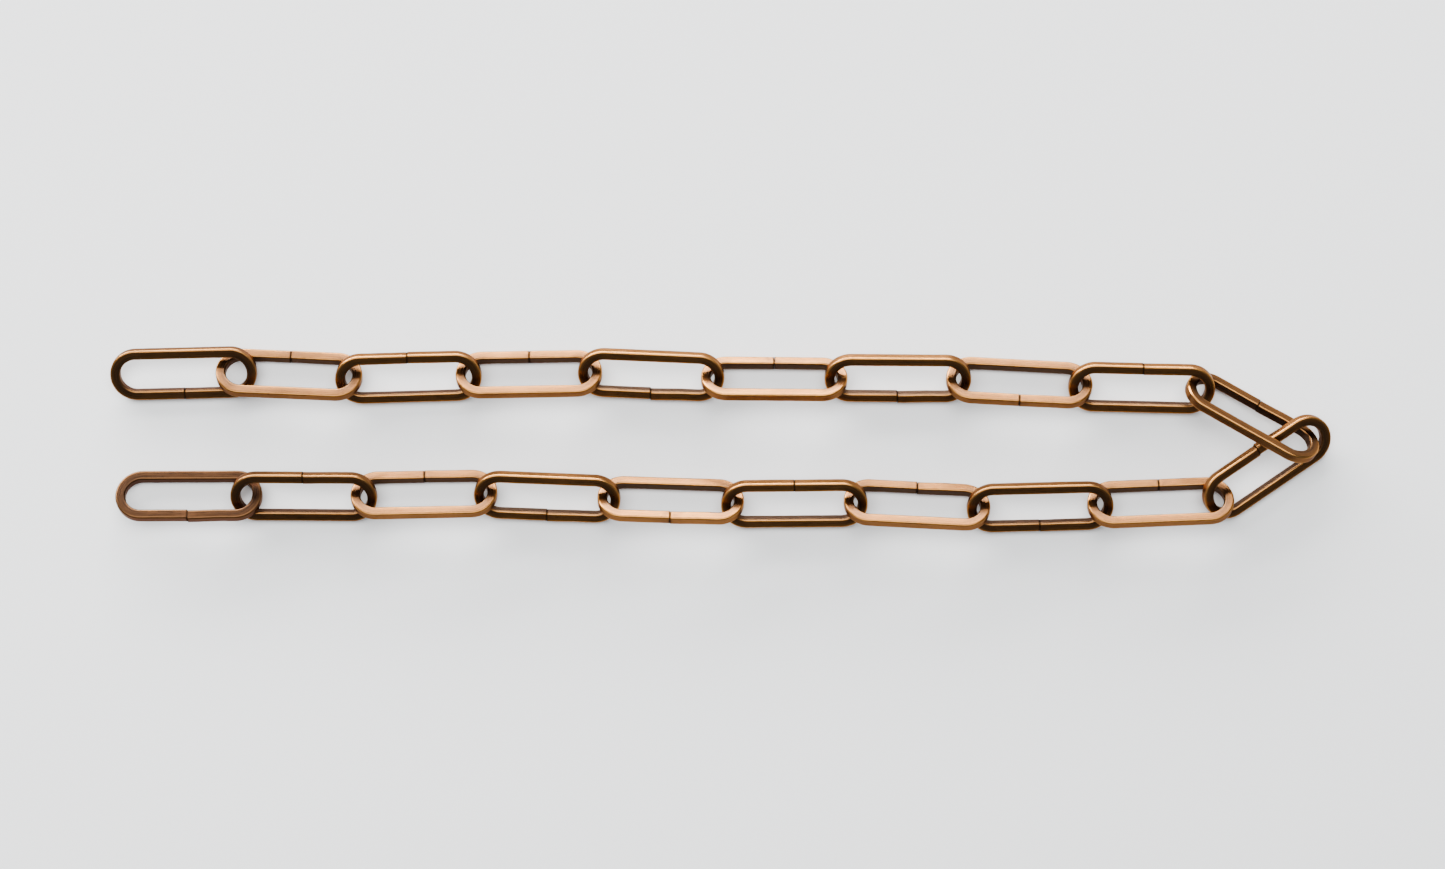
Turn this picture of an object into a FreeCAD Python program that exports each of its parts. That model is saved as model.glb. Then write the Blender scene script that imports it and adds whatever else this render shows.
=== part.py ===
import FreeCAD, Part
import math
import os

# A chain of twenty alike links, laid down folded in half.
# +X runs along the two halves towards the fold, +Y across them, +Z up from the table.
# The origin is on the table, under the middle of the whole chain. All sizes are in millimetres.

WIRE = 1.35            # side of the square wire
EDGE_RADIUS = 0.27     # rounding along the wire's four edges
LINK_LENGTH = 20.0     # outside length of a link
LINK_WIDTH = 7.15      # outside width of a link
SEAM_GAP = 0.06        # between the wire's two cut ends, halfway along one long side

BOW_RADIUS = (LINK_WIDTH - WIRE) / 2          # middle of the wire in the half-round ends
BOW_OFFSET = (LINK_LENGTH - LINK_WIDTH) / 2   # from the link's middle to a bow's centre

# How each link lies, from the free end of one half, round the fold, to the other free end.
# x, y: the link's middle. turn: its length, counter-clockwise from +X, seen from above.
# lean: its left long side raised (+) or its right long side raised (-), looking along it.
# tip: its leading end raised. seam: which long side the cut is in, "left" or "right".
#    x       y       turn   lean   tip  seam
LIES = [
    (-73.59, 8.28,   1.4,   23.0,  0.0, "right"),
    (-59.17, 8.05,   -2.5,  -28.0, 0.0, "left"),
    (-42.86, 7.70,   1.7,   29.0,  0.0, "left"),
    (-26.41, 8.10,   1.0,   -31.0, 0.0, "left"),
    (-9.73,  8.05,   -2.5,  33.0,  0.0, "right"),
    (7.05,   7.45,   -0.5,  -38.0, 0.0, "left"),
    (23.92,  7.55,   -0.4,  36.5,  0.0, "right"),
    (40.49,  6.95,   -3.0,  -31.5, 0.0, "right"),
    (57.18,  6.25,   -1.4,  30.5,  0.0, "left"),
    (72.08,  2.15,   -29.9, -43.5, 3.5, "left"),
    (74.18,  -4.50,  34.1,  27.0,  0.0, "left"),
    (59.66,  -9.43,  2.3,   -32.0, 0.0, "left"),
    (43.25,  -9.98,  1.4,   31.5,  0.0, "right"),
    (26.48,  -9.73,  -2.9,  -34.0, 0.0, "left"),
    (9.78,   -9.55,  0.5,   34.5,  0.0, "left"),
    (-7.05,  -9.12,  -1.8,  -36.5, 0.0, "right"),
    (-23.87, -8.62,  -2.3,  34.0,  0.0, "right"),
    (-40.66, -8.32,  1.1,   -31.0, 0.0, "left"),
    (-57.03, -8.55,  -0.4,  31.0,  0.0, "left"),
    (-72.74, -8.50,  0.2,   -22.5, 0.0, "right"),
]

X = FreeCAD.Vector(1, 0, 0)
Y = FreeCAD.Vector(0, 1, 0)
Z = FreeCAD.Vector(0, 0, 1)


def wire_section(x, y):
    """The wire's rounded square, facing +X, with its middle at x, y."""
    half = WIRE / 2
    flat = half - EDGE_RADIUS
    middle = FreeCAD.Vector(x, y, 0)
    rounding = EDGE_RADIUS * math.sqrt(0.5)
    edges = []
    for quarter in range(4):
        turned = FreeCAD.Rotation(X, 90 * quarter)

        def point(across, up):
            return middle + turned.multVec(FreeCAD.Vector(0, across, up))

        flat_start = point(half, -flat)
        round_start = point(half, flat)
        round_middle = point(flat + rounding, flat + rounding)
        round_end = point(flat, half)
        edges.append(Part.LineSegment(flat_start, round_start).toShape())
        edges.append(Part.Arc(round_start, round_middle, round_end).toShape())
    return Part.Face(Part.Wire(edges))


def flat_link(seam_side):
    """One link lying flat with its middle at the origin: a bent wire whose two ends almost meet."""
    side = 1 if seam_side == "left" else -1
    seam_y = side * BOW_RADIUS
    run_to_seam = BOW_OFFSET - SEAM_GAP / 2
    behind_seam = wire_section(-BOW_OFFSET, seam_y).extrude(X * run_to_seam)
    ahead_of_seam = wire_section(SEAM_GAP / 2, seam_y).extrude(X * run_to_seam)
    whole_side = wire_section(-BOW_OFFSET, -seam_y).extrude(X * (2 * BOW_OFFSET))
    leading_bow = wire_section(BOW_OFFSET, -BOW_RADIUS).revolve(X * BOW_OFFSET, Z, 180)
    trailing_bow = wire_section(-BOW_OFFSET, BOW_RADIUS).revolve(X * -BOW_OFFSET, Z, 180)
    link = behind_seam.fuse([trailing_bow, whole_side, leading_bow, ahead_of_seam])
    return link.removeSplitter().Solids[0]


def lay_down(link, x, y, turn, lean, tip):
    """Lean, tip and turn a flat link, then set it on the table with its middle over x, y."""
    pose = FreeCAD.Rotation(Z, turn) * FreeCAD.Rotation(Y, -tip) * FreeCAD.Rotation(X, lean)
    laid = link.copy()
    laid.Placement = FreeCAD.Placement(FreeCAD.Vector(x, y, 0), pose)
    lowest = laid.optimalBoundingBox(False, False).ZMin
    laid.Placement = FreeCAD.Placement(FreeCAD.Vector(x, y, -lowest), pose)
    return laid


def check_wire(link):
    """The solid's volume has to be the wire's section times its length."""
    section = wire_section(0, 0).Area
    length = 4 * BOW_OFFSET + 2 * math.pi * BOW_RADIUS - SEAM_GAP
    assert link.isValid() and abs(link.Volume / (section * length) - 1) < 0.001


def make_chain():
    """Every link in its place, as a dictionary of node name and solid."""
    flat = {side: flat_link(side) for side in ("left", "right")}
    for link in flat.values():
        check_wire(link)
    laid = [lay_down(flat[seam], x, y, turn, lean, tip) for x, y, turn, lean, tip, seam in LIES]
    box = Part.Compound(laid).optimalBoundingBox(False, False)
    for link in laid:
        link.translate(FreeCAD.Vector(-box.Center.x, -box.Center.y, 0))
    return {f"link_{number:02d}": link for number, link in enumerate(laid, start=1)}


os.makedirs("parts", exist_ok=True)
for name, solid in make_chain().items():
    solid.exportStep(f"parts/{name}.step")
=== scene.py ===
import math

import bpy
import numpy as np
from mathutils import Matrix, Vector


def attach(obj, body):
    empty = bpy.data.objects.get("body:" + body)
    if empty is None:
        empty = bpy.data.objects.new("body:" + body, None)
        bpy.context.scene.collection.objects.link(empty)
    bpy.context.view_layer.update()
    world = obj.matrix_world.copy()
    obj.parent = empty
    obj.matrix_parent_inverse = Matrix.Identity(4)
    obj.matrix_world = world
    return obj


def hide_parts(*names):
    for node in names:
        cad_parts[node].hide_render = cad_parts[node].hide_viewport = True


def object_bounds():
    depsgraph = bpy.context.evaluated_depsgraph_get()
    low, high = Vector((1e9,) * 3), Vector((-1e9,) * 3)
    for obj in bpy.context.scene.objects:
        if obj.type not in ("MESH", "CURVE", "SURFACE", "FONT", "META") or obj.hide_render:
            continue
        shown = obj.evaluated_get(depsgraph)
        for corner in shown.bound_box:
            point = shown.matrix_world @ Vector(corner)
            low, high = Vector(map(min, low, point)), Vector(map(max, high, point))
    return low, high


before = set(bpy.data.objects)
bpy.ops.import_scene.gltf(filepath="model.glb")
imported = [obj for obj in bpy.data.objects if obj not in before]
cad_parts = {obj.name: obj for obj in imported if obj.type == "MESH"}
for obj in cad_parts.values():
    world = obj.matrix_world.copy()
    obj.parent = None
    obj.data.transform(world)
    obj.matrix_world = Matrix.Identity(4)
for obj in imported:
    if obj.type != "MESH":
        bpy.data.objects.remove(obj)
cad_box = [list(corner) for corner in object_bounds()]

# Everything is in metres.
MM = 0.001

# ---------------------------------------------------------------- the wire and its marks

EDGE_ROUND = 0.27 * MM       # rounding along the wire's four edges
CROWN = 0.006 * MM           # how far the middle of each flat swells
SEAM_GAP = 0.006 * MM        # between the two cut ends of a link's wire
CUT_CHAMFER = 0.09 * MM      # filed edge of each cut end
STEP_REACH = 4.5 * MM        # how far from a seam its step is bent back into line
SEAM_WORK = 2.2 * MM         # how far from a seam the wire is marked by closing it
GRIME_FULL = 0.375 * CUT_CHAMFER    # how near a seam its grime is full
GRIME_END = 1.875 * CUT_CHAMFER     # and how far from a seam it ends
NOISE_SHIFT = 60 * MM        # between the markings of one link and those of the next

RING_STEP = 0.22 * MM        # length of one ring of faces along a straight side
BOW_STEPS = 44               # rings round each half-round end
ROUND_STEPS = 5              # faces round each edge of the wire
FLAT_CUTS = 4                # cuts across each flat of the wire, evenly spaced
INNER_CUTS = 0.1             # how far the inner two lie from the flat's middle, in flat widths
OUTER_CUTS = 0.3             # and the outer two, before they are moved
OUTER_CUTS_MOVE = 1.5        # how many times further out the outer two are then carried
MERGE_DISTANCE = 0.001 * MM  # points nearer to each other than this become one
SHARP_ANGLE = math.radians(35)

WEAR_AND_HIGHLIGHT_FROM = 0.8              # where the coppery edge, rubbed and also a painted highlight, starts, from a flat's middle, in half flat widths
WEAR_AND_HIGHLIGHT_FULL = 1.4              # and where it is full
# Dark patina on the faces inside a link and inside its bows, partly painted shade where the link
# is shaded and its neighbour covers it.
INNER_FACE = (0.85, 0.98)    # where the face inside a link starts, in half wire widths inwards
INNER_DARK = 0.88            # how much dark patina and painted shade it gets
BOW_INSIDE = (-0.7, 0.9)     # how the patina and painted shade inside a bow come up, in half wire widths inwards
BOW_DARK = 0.75              # how strong they are there
BOW_DARK_FROM = 0.4          # how far before a bow it starts, in bow radii

# The unevenness of drawn and bent wire: the size of its waves and its strength.
WAVY = (6 * MM, 0.05 * MM)
HAMMERED = (1.1 * MM, 0.022 * MM)

# How far the wire's leading cut end misses the other one, outwards and upwards in mm,
# for each link in turn.
SEAM_STEPS = [
    (0.03, -0.03), (0.00, 0.04), (0.05, 0.00), (0.02, -0.03), (0.13, 0.02),
    (0.00, 0.03), (0.10, 0.02), (0.03, -0.02), (-0.04, 0.02), (-0.06, -0.04),
    (0.12, -0.10), (-0.03, 0.04), (0.03, 0.03), (-0.10, 0.02), (-0.04, -0.03),
    (0.06, -0.04), (0.05, 0.03), (0.02, 0.03), (-0.02, 0.05), (0.14, 0.03),
]

# How much painted shade darkens each link as a whole, from 0 to 1.
DARKER = [
    0.40, 0.35, 0.05, 0.15, 0.00, 0.00, 0.05, 0.20, 0.00, 0.25,
    0.15, 0.15, 0.25, 0.15, 0.00, 0.00, 0.00, 0.20, 0.40, 0.85,
]

# ---------------------------------------------------------------- the finish

DEEP_BROWN = (0.14, 0.053, 0.012, 1)
LIGHT_BROWN = (0.195, 0.075, 0.018, 1)
STREAK = (0.27, 0.106, 0.022, 1)
# Old patina in the recesses, partly painted shade.
PATINA_AND_PAINTED_SHADE = (0.023, 0.015, 0.011, 1)
# Coppery rounded edges: rubbed metal, partly a painted highlight.
COPPERY_WEAR_AND_HIGHLIGHT = (0.64, 0.275, 0.065, 1)
SPECK = (0.05, 0.023, 0.013, 1)
SCUFF = (0.07, 0.030, 0.018, 1)
# The deep brown that each link's painted shade darkens it towards.
PAINTED_SHADE_BROWN = (0.045, 0.018, 0.007, 1)
GRIME = (0.012, 0.008, 0.006, 1)
GRAZING_TINT = (0.56, 0.44, 0.37, 1)     # of what shines back at a grazing angle

# Each kind of marking: repeats to the metre along the wire, across it and up, then the
# detail and the roughness of the noise.
MARKINGS = {
    "streaks": ((300, 6500, 6500), 5.0, 0.6),
    "hairs": ((900, 16000, 16000), 2.0, 0.5),
    "clouds": ((170, 420, 420), 3.0, 0.5),
    "specks": ((2600, 3600, 3600), 2.0, 0.5),
    "scuffs": ((1400, 1900, 1900), 4.0, 0.7),
}

# How far each marking shows: the range of its noise, or of what is stored on the links, and
# the share that it has at the low and at the high end of that range.
CLOUDED = (0.35, 0.68, 0.0, 1.0)
STREAKED = (0.42, 0.66, 0.0, 0.35)
SPECKLED = (0.66, 0.76, 0.0, 0.5)
HANDLED = (0.45, 0.62, 0.0, 1.0)
RAGGED_EDGE = (0.25, 0.6, 0.6, 1.0)
# How much of the coppery edge shows under the patina and painted shade.
EDGE_IN_RECESS = (0.0, 0.8, 0.8, 0.15)
GRIMY = (0.3, 0.5, 0.85, 1.0)
SCUFF_SHARE = 0.5

# The surface: how rough it is from streak to streak, how much rougher where it was handled
# and in the seams' grooves, the thin wax over it, which the grooves lack, and its relief.
SATIN = (0.3, 0.7, 0.24, 0.36)
HANDLED_ROUGHER = 0.12
GROOVE_ROUGHER = 0.5
WAXED = (0.0, 0.6, 0.18, 0.0)
WAX_ROUGHNESS = 0.3
STREAK_RELIEF = 0.7
HAIR_RELIEF = 0.3
HANDLED_RELIEF = -0.6
RELIEF_STRENGTH = 0.25
RELIEF_DEPTH = 0.02 * MM

# ---------------------------------------------------------------- the studio

FLOOR_WIDTH = 3.0
FLOOR_DROP = 0.02 * MM
FLOOR_WHITE = (0.9, 0.9, 0.9, 1)
FLOOR_ROUGHNESS = 0.35
FLOOR_GLOSS = 0.8

# Name, place, where it is aimed, width and height, and brightness of its face.
SOFTBOXES = [
    ("low_back_softbox", (-0.55, 1.20, 0.31), (-0.1, 0, 0), (2.1, 0.28), 48),
    ("high_back_softbox", (-0.50, 1.10, 0.60), (-0.1, 0, 0), (2.1, 0.20), 17),
    ("top_softbox", (-0.1, 0.26, 1.06), (0, 0, 0), (1.5, 0.75), 6.0),
]
ROOM_COLOUR = (0.78, 0.90, 1, 1)
ROOM_BRIGHTNESS = 0.30

LENS = 84.7                  # focal length, in mm
CAMERA_DISTANCE = 2.796      # in lengths of the chain as it lies
CAMERA_LEAN = math.radians(3)
CAMERA_TARGET = (0.26 * MM, 0.76 * MM, 0)
CAMERA_REACH = 10


def deselect():
    if bpy.context.object and bpy.context.object.mode == "EDIT":
        bpy.ops.object.mode_set(mode="OBJECT")
    bpy.ops.object.select_all(action="DESELECT")


def pick(piece):
    """Make one piece the only selected and the active one."""
    deselect()
    piece.select_set(True)
    bpy.context.view_layer.objects.active = piece


# ---------------------------------------------------------------- where each link lies

def surface_moments(mesh):
    """The second moments of a mesh's surface about its middle."""
    mesh.calc_loop_triangles()
    points = np.array([v.co for v in mesh.vertices])
    corners = points[np.array([t.vertices for t in mesh.loop_triangles])]
    sides = np.cross(corners[:, 1] - corners[:, 0], corners[:, 2] - corners[:, 0])
    areas = np.linalg.norm(sides, axis=1) / 2
    middles = corners.mean(axis=1)
    middle = (middles * areas[:, None]).sum(axis=0) / areas.sum()
    corners = corners - middle
    middles = middles - middle
    from_corners = np.einsum("t,tki,tkj->ij", areas / 12, corners, corners)
    from_middles = np.einsum("t,ti,tj->ij", areas * 9 / 12, middles, middles)
    return from_corners + from_middles


def own_frame(node):
    """A link's place: X along it, Y to its left, Z out of its upper face, and its middle."""
    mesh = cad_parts[node].data
    _, directions = np.linalg.eigh(surface_moments(mesh))
    along = Vector(directions[:, 2])
    upward = Vector(directions[:, 0])
    if along.x < 0:
        along.negate()
    if upward.z < 0:
        upward.negate()
    left = upward.cross(along)
    turn = Matrix((along, left, upward)).transposed()
    own = np.array([v.co for v in mesh.vertices]) @ np.array(turn)
    low = Vector(own.min(axis=0))
    high = Vector(own.max(axis=0))
    place = Matrix.Translation(turn @ ((low + high) / 2)) @ turn.to_4x4()
    return place, high - low


def seam_is_left(node, place):
    """Whether the link's cut is in its left long side."""
    inverse = place.inverted()
    own = [inverse @ v.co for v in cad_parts[node].data.vertices]
    near_cut = [p.y for p in own if abs(p.x) < 0.1 * MM]
    return sum(near_cut) > 0


LINKS = sorted(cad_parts)
PLACES = {node: own_frame(node) for node in LINKS}
LENGTH, WIDTH, WIRE = PLACES[LINKS[0]][1]
HALF_WIRE = WIRE / 2
FLAT = WIRE - 2 * EDGE_ROUND
BOW_RADIUS = (WIDTH - WIRE) / 2
BOW_OFFSET = (LENGTH - WIDTH) / 2


# ---------------------------------------------------------------- one link, lying flat

def select_points(piece, chosen):
    """In edit mode, select the points, edges and faces whose points all pass the test."""
    bpy.ops.mesh.select_mode(type="VERT")
    bpy.ops.mesh.select_all(action="DESELECT")
    bpy.ops.object.mode_set(mode="OBJECT")
    for point in piece.data.vertices:
        point.select = chosen(point.co)
    bpy.ops.object.mode_set(mode="EDIT")


def select_flats(section):
    """In edit mode, select the four long edges of the section."""
    bpy.ops.mesh.select_all(action="DESELECT")
    bpy.ops.object.mode_set(mode="OBJECT")
    for edge in section.data.edges:
        ends = [section.data.vertices[i].co for i in edge.vertices]
        edge.select = (ends[0] - ends[1]).length > 0.8 * FLAT
    bpy.ops.object.mode_set(mode="EDIT")


def at_outer_cut(from_middle):
    return abs(abs(from_middle) - OUTER_CUTS * FLAT) < INNER_CUTS * FLAT


def on_surface(from_middle):
    return abs(from_middle) > 0.99 * HALF_WIRE


def at_inner_cut(across, up):
    return min(abs(across), abs(up)) < 1.5 * INNER_CUTS * FLAT


def draw_section():
    """The wire's rounded square with its slightly swollen flats, as a closed line.

    It stands at the seam's leading side.
    """
    bpy.ops.mesh.primitive_plane_add(
        size=WIRE, location=(SEAM_GAP / 2, BOW_RADIUS, 0), rotation=(0, math.pi / 2, 0)
    )
    section = bpy.context.object
    bpy.ops.object.transform_apply(location=True, rotation=True, scale=True)
    bpy.ops.object.mode_set(mode="EDIT")
    bpy.ops.mesh.select_mode(type="EDGE")
    bpy.ops.mesh.select_all(action="SELECT")
    bpy.ops.mesh.bevel(
        offset=EDGE_ROUND, offset_type="OFFSET", segments=ROUND_STEPS, affect="VERTICES"
    )
    select_flats(section)
    bpy.ops.mesh.subdivide(number_cuts=FLAT_CUTS)
    select_points(section, lambda p: on_surface(p.y - BOW_RADIUS) and at_outer_cut(p.z))
    bpy.ops.transform.resize(value=(1, 1, OUTER_CUTS_MOVE))
    select_points(section, lambda p: on_surface(p.z) and at_outer_cut(p.y - BOW_RADIUS))
    bpy.ops.transform.resize(value=(1, OUTER_CUTS_MOVE, 1))
    select_points(section, lambda p: at_inner_cut(p.y - BOW_RADIUS, p.z))
    swell = (HALF_WIRE + CROWN) / HALF_WIRE
    bpy.ops.transform.resize(value=(1, swell, swell))
    bpy.ops.mesh.select_all(action="SELECT")
    bpy.ops.mesh.delete(type="ONLY_FACE")
    bpy.ops.mesh.select_all(action="SELECT")
    return section


def run_straight(distance):
    """Carry the selected section along X."""
    steps = round(abs(distance) / RING_STEP)
    for _ in range(steps):
        bpy.ops.mesh.extrude_region_move(
            TRANSFORM_OT_translate={"value": (distance / steps, 0, 0)}
        )


def run_bow(centre_x):
    """Carry the selected section half round a bow, clockwise."""
    bpy.ops.mesh.spin(
        steps=BOW_STEPS, angle=math.pi, center=(centre_x, 0, 0), axis=(0, 0, 1)
    )


def close_cut_ends(link):
    """Cap both ends of the wire and file their edges."""
    for side in (1, -1):
        face_x = side * SEAM_GAP / 2
        select_points(link, lambda p: p.y > 0 and abs(p.x - face_x) < 0.2 * SEAM_GAP)
        bpy.ops.mesh.edge_face_add()
        bpy.ops.mesh.bevel(
            offset=CUT_CHAMFER, offset_type="OFFSET", segments=2, affect="EDGES"
        )


def bend_link():
    """One link of square wire lying flat about the origin, its seam halfway along its left."""
    link = draw_section()
    run_straight(BOW_OFFSET - SEAM_GAP / 2)
    run_bow(BOW_OFFSET)
    run_straight(-2 * BOW_OFFSET)
    run_bow(-BOW_OFFSET)
    run_straight(BOW_OFFSET - SEAM_GAP / 2)
    close_cut_ends(link)
    bpy.ops.mesh.select_all(action="SELECT")
    bpy.ops.mesh.remove_doubles(threshold=MERGE_DISTANCE)
    bpy.ops.mesh.normals_make_consistent(inside=False)
    bpy.ops.object.mode_set(mode="OBJECT")
    link.name = "pattern_link"
    return link


# ---------------------------------------------------------------- marks for the finish

def unbent(points):
    """Each point's place on the straight wire, and the wire's whole length.

    A place is the distance along the wire from the seam, outwards from its middle line, and up.
    """
    x, y, z = points.T
    half_turn = math.pi * BOW_RADIUS
    lead, trail = x - BOW_OFFSET, x + BOW_OFFSET
    whole = 4 * BOW_OFFSET + 2 * half_turn
    along = np.where(x > 0, x, whole + x)
    along = np.where(y < 0, 2 * BOW_OFFSET + half_turn - x, along)
    out = np.abs(y) - BOW_RADIUS
    along = np.where(lead > 0, BOW_OFFSET + BOW_RADIUS * np.arctan2(lead, y), along)
    out = np.where(lead > 0, np.hypot(lead, y) - BOW_RADIUS, out)
    behind = 3 * BOW_OFFSET + half_turn + BOW_RADIUS * np.arctan2(-trail, -y)
    along = np.where(trail < 0, behind, along)
    out = np.where(trail < 0, np.hypot(trail, y) - BOW_RADIUS, out)
    return np.stack([along, out, z], axis=1), whole


def smooth_step(low, high, value):
    t = np.clip((value - low) / (high - low), 0, 1)
    return t * t * (3 - 2 * t)


def store(link, name, values):
    """Keep one number for each of the link's points under a name."""
    link.data.attributes.new(name, "FLOAT", "POINT").data.foreach_set("value", values)


def mark_wire(link):
    """Store where the link's points lie on the straight wire, its rubbed edges with their
    painted highlight, its recesses with their patina and painted shade, and its seam.
    """
    points = np.array([v.co for v in link.data.vertices])
    place, whole = unbent(points)
    from_seam = np.minimum(place[:, 0], whole - place[:, 0])
    from_flat_middle = np.minimum(np.abs(place[:, 1]), np.abs(place[:, 2]))
    inward = -place[:, 1] / HALF_WIRE
    past_bow_start = np.abs(points[:, 0]) - BOW_OFFSET + BOW_DARK_FROM * BOW_RADIUS
    bow = smooth_step(0, BOW_RADIUS, past_bow_start)
    # The faces inside the link and inside its bows get dark patina and painted shade.
    inner_face = smooth_step(*INNER_FACE, inward)
    inside_bow = bow * smooth_step(*BOW_INSIDE, inward)
    # Rounded edges get coppery colour: rubbed metal, and also a painted highlight.
    wear_and_highlight = smooth_step(WEAR_AND_HIGHLIGHT_FROM * FLAT / 2, WEAR_AND_HIGHLIGHT_FULL * FLAT / 2, from_flat_middle)

    stored = link.data.attributes.new("wire_place", "FLOAT_VECTOR", "POINT")
    stored.data.foreach_set("vector", place.ravel())
    store(link, "wear_and_highlight_edge", wear_and_highlight)
    store(link, "seam_work", 1 - smooth_step(0, SEAM_WORK, from_seam))
    store(link, "seam_groove", np.clip((GRIME_END - from_seam) / (GRIME_END - GRIME_FULL), 0, 1))
    store(link, "patina_and_shade", np.maximum(INNER_DARK * inner_face, BOW_DARK * inside_bow))


# ---------------------------------------------------------------- the twenty links

def step_seam(link, out, up):
    """Bend the leading cut end a little out of line, fading back along its side."""
    pick(link)
    bpy.ops.object.mode_set(mode="EDIT")
    end = SEAM_GAP / 2 + 1.5 * CUT_CHAMFER
    select_points(link, lambda p: p.y > 0 and 0 < p.x < end)
    bpy.ops.transform.translate(
        value=(0, out * MM, up * MM),
        use_proportional_edit=True,
        use_proportional_connected=True,
        proportional_edit_falloff="SMOOTH",
        proportional_size=STEP_REACH,
    )
    bpy.ops.object.mode_set(mode="OBJECT")


def cloud_texture(name, size):
    texture = bpy.data.textures.new(name, "CLOUDS")
    texture.noise_scale = size
    texture.noise_depth = 2
    return texture


def uneven(link, texture, strength):
    """Give the faces the small unevenness of drawn and bent wire."""
    displace = link.modifiers.new("uneven", "DISPLACE")
    displace.texture = texture
    displace.texture_coords = "LOCAL"
    displace.strength = strength
    displace.mid_level = 0.5
    pick(link)
    bpy.ops.object.modifier_apply(modifier=displace.name)


def shift_markings(link, along):
    """Move the link's place on the straight wire, so that no two links are marked alike."""
    place = np.empty(3 * len(link.data.vertices))
    link.data.attributes["wire_place"].data.foreach_get("vector", place)
    place[::3] += along
    link.data.attributes["wire_place"].data.foreach_set("vector", place)


def make_link(pattern, node, step, darker):
    """A copy of the pattern link in its node's place, with its own seam, markings and painted
    shade.
    """
    place = PLACES[node][0]
    left = seam_is_left(node, place)
    link = pattern.copy()
    link.data = pattern.data.copy()
    link.name = node + "_wire"
    bpy.context.collection.objects.link(link)
    out, up = step
    step_seam(link, out, up if left else -up)
    if not left:
        place = place @ Matrix.Rotation(math.pi, 4, "X")
    link.data.transform(place)
    shift_markings(link, NOISE_SHIFT * LINKS.index(node))
    # Each link's own painted shade.
    store(link, "painted_shade_share", np.full(len(link.data.vertices), darker))
    return link


# ---------------------------------------------------------------- finish

def node_at(tree, kind, inputs=None, **settings):
    """A shader node with its settings; an input given another node's output is linked to it."""
    node = tree.nodes.new(kind)
    for key, value in settings.items():
        setattr(node, key, value)
    for key, value in (inputs or {}).items():
        if isinstance(value, bpy.types.NodeSocket):
            tree.links.new(value, node.inputs[key])
        else:
            node.inputs[key].default_value = value
    return node


def attribute(tree, name, output):
    return node_at(tree, "ShaderNodeAttribute", attribute_name=name).outputs[output]


def noise(tree, place, scale, detail, roughness):
    """Noise on the straight wire."""
    mapped = node_at(tree, "ShaderNodeMapping", {"Vector": place, "Scale": scale}).outputs[0]
    inputs = {"Vector": mapped, "Scale": 1.0, "Detail": detail, "Roughness": roughness}
    return node_at(tree, "ShaderNodeTexNoise", inputs).outputs["Fac"]


def spread(tree, value, ranges):
    """The value stretched from one range to another, and kept inside it."""
    inputs = dict(zip(("From Min", "From Max", "To Min", "To Max"), ranges), Value=value)
    return node_at(tree, "ShaderNodeMapRange", inputs).outputs[0]


def arithmetic(tree, operation, first, second):
    return node_at(tree, "ShaderNodeMath", {0: first, 1: second}, operation=operation).outputs[0]


def times(tree, first, second):
    return arithmetic(tree, "MULTIPLY", first, second)


def plus(tree, first, second):
    return arithmetic(tree, "ADD", first, second)


def mixed(tree, share, first, second):
    node = node_at(tree, "ShaderNodeMix", data_type="RGBA")
    for key, value in (("Factor", share), ("A", first), ("B", second)):
        sockets = [i for i in node.inputs if i.name == key and i.enabled]
        if isinstance(value, bpy.types.NodeSocket):
            tree.links.new(value, sockets[0])
        else:
            sockets[0].default_value = value
    return next(o for o in node.outputs if o.enabled)


def wire_marks(tree):
    """What is stored on the links and the markings over them, as outputs by name."""
    stored = ("wear_and_highlight_edge", "seam_work", "seam_groove", "painted_shade_share", "patina_and_shade")
    marks = {name: attribute(tree, name, "Fac") for name in stored}
    place = attribute(tree, "wire_place", "Vector")
    for name, (scale, detail, roughness) in MARKINGS.items():
        marks[name] = noise(tree, place, scale, detail, roughness)
    marks["handled"] = times(tree, marks["seam_work"], spread(tree, marks["scuffs"], HANDLED))
    return marks


def bronze_colour(tree, marks):
    """Browned flats, old patina with painted shade in the recesses, coppery rubbed edges with a
    painted highlight, each link's painted shade, scuffs and seam grime.
    """
    scuffs = marks["scuffs"]
    brown = mixed(tree, spread(tree, marks["clouds"], CLOUDED), DEEP_BROWN, LIGHT_BROWN)
    streaked = mixed(tree, spread(tree, marks["streaks"], STREAKED), brown, STREAK)
    # Dark patina and painted shade on the faces inside the link and inside its bows.
    kept = mixed(tree, marks["patina_and_shade"], streaked, PATINA_AND_PAINTED_SHADE)
    # Coppery rounded edges, rubbed and also a painted highlight, fainter under the patina and
    # painted shade.
    ragged = times(tree, marks["wear_and_highlight_edge"], spread(tree, scuffs, RAGGED_EDGE))
    open_edge = times(tree, ragged, spread(tree, marks["patina_and_shade"], EDGE_IN_RECESS))
    coppery = mixed(tree, open_edge, kept, COPPERY_WEAR_AND_HIGHLIGHT)
    speckled = mixed(tree, spread(tree, marks["specks"], SPECKLED), coppery, SPECK)
    scuffed = mixed(tree, times(tree, marks["handled"], SCUFF_SHARE), speckled, SCUFF)
    # Each link darkened by its own painted shade.
    toned = mixed(tree, marks["painted_shade_share"], scuffed, PAINTED_SHADE_BROWN)
    grimy = times(tree, marks["seam_groove"], spread(tree, scuffs, GRIMY))
    return mixed(tree, grimy, toned, GRIME)


def bronze_roughness(tree, marks):
    satin = spread(tree, marks["streaks"], SATIN)
    rougher = plus(tree, satin, times(tree, marks["handled"], HANDLED_ROUGHER))
    return plus(tree, rougher, times(tree, marks["seam_groove"], GROOVE_ROUGHER))


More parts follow.
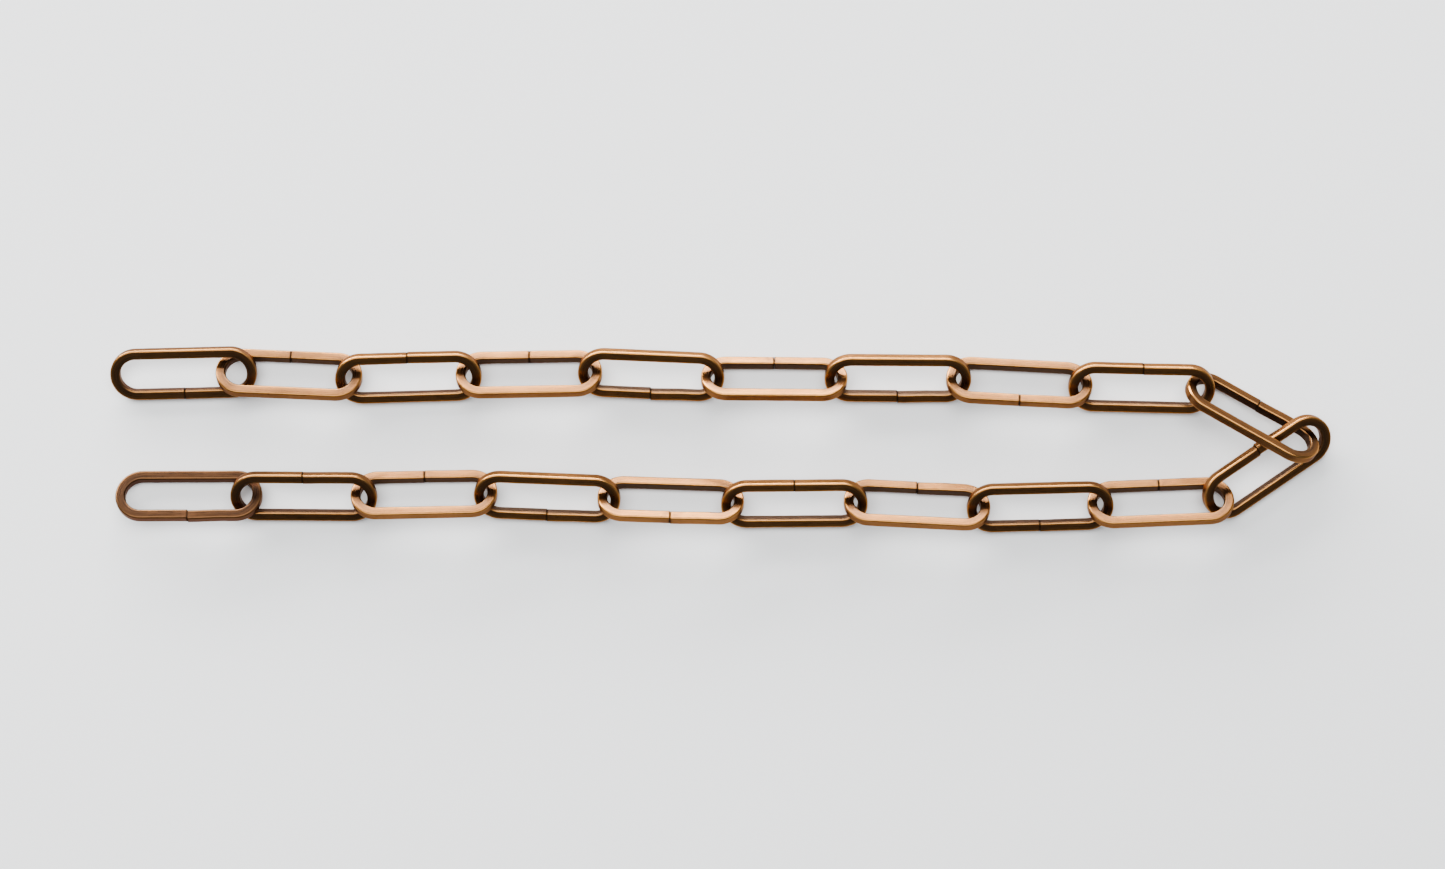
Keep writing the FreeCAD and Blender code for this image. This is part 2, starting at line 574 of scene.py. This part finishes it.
def bronze_relief(tree, marks):
    """Fine drawing lines along the wire, sunk where it was handled."""
    streaks = times(tree, marks["streaks"], STREAK_RELIEF)
    drawn = plus(tree, streaks, times(tree, marks["hairs"], HAIR_RELIEF))
    height = plus(tree, drawn, times(tree, marks["handled"], HANDLED_RELIEF))
    inputs = {"Height": height, "Strength": RELIEF_STRENGTH, "Distance": RELIEF_DEPTH}
    return node_at(tree, "ShaderNodeBump", inputs).outputs[0]


def antique_bronze():
    """Drawn wire in a satin bronze with a thin wax over it, except in the seams."""
    material = bpy.data.materials.new("antique_bronze")
    material.use_nodes = True
    tree = material.node_tree
    shader = tree.nodes["Principled BSDF"]
    marks = wire_marks(tree)
    waxed = spread(tree, marks["seam_groove"], WAXED)
    tree.links.new(bronze_colour(tree, marks), shader.inputs["Base Color"])
    tree.links.new(bronze_roughness(tree, marks), shader.inputs["Roughness"])
    tree.links.new(bronze_relief(tree, marks), shader.inputs["Normal"])
    tree.links.new(waxed, shader.inputs["Coat Weight"])
    shader.inputs["Metallic"].default_value = 1.0
    shader.inputs["Coat Roughness"].default_value = WAX_ROUGHNESS
    shader.inputs["Specular Tint"].default_value = GRAZING_TINT
    return material


def pale_floor():
    material = bpy.data.materials.new("pale_floor")
    material.use_nodes = True
    shader = material.node_tree.nodes["Principled BSDF"]
    shader.inputs["Base Color"].default_value = FLOOR_WHITE
    shader.inputs["Roughness"].default_value = FLOOR_ROUGHNESS
    shader.inputs["Specular IOR Level"].default_value = FLOOR_GLOSS
    return material


# ---------------------------------------------------------------- studio

def look_at(thing, target):
    direction = Vector(target) - thing.location
    thing.rotation_euler = direction.to_track_quat("-Z", "Y").to_euler()


def softbox(name, place, target, size, brightness):
    """A flat rectangular light; brightness is that of its face, whatever its size."""
    light = bpy.data.lights.new(name, "AREA")
    light.shape = "RECTANGLE"
    light.size, light.size_y = size
    light.energy = brightness * math.pi * size[0] * size[1]
    thing = bpy.data.objects.new(name, light)
    bpy.context.collection.objects.link(thing)
    thing.location = place
    look_at(thing, target)


def lay_floor():
    deselect()
    bpy.ops.mesh.primitive_plane_add(size=FLOOR_WIDTH, location=(0, 0, -FLOOR_DROP))
    floor = bpy.context.object
    floor.name = "table_top"
    bpy.ops.object.transform_apply(location=True, rotation=False, scale=False)
    floor.data.materials.append(pale_floor())


def light_studio():
    for name, place, target, size, brightness in SOFTBOXES:
        softbox(name, place, target, size, brightness)
    world = bpy.data.worlds.new("studio")
    bpy.context.scene.world = world
    world.use_nodes = True
    background = world.node_tree.nodes["Background"]
    background.inputs["Color"].default_value = ROOM_COLOUR
    background.inputs["Strength"].default_value = ROOM_BRIGHTNESS


def set_camera():
    """Nearly straight above the chain, leaning a little towards its near side."""
    low, high = [Vector(corner) for corner in cad_box]
    camera_data = bpy.data.cameras.new("camera")
    camera_data.lens = LENS
    camera_data.clip_end = CAMERA_REACH
    camera = bpy.data.objects.new("camera", camera_data)
    bpy.context.collection.objects.link(camera)
    upward = Vector((0, -math.sin(CAMERA_LEAN), math.cos(CAMERA_LEAN)))
    distance = CAMERA_DISTANCE * (high.x - low.x)
    camera.location = Vector(CAMERA_TARGET) + distance * upward
    look_at(camera, CAMERA_TARGET)
    bpy.context.scene.camera = camera


# ---------------------------------------------------------------- put together

deselect()
bronze = antique_bronze()
pattern = bend_link()
mark_wire(pattern)
pattern.data.materials.append(bronze)
hammered = cloud_texture("hammered", HAMMERED[0])
wavy = cloud_texture("wavy", WAVY[0])
for node, step, darker in zip(LINKS, SEAM_STEPS, DARKER):
    link = make_link(pattern, node, step, darker)
    uneven(link, wavy, WAVY[1])
    uneven(link, hammered, HAMMERED[1])
    pick(link)
    bpy.ops.object.shade_smooth_by_angle(angle=SHARP_ANGLE)
    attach(link, node)
    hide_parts(node)
bpy.data.objects.remove(pattern)

lay_floor()
light_studio()
set_camera()
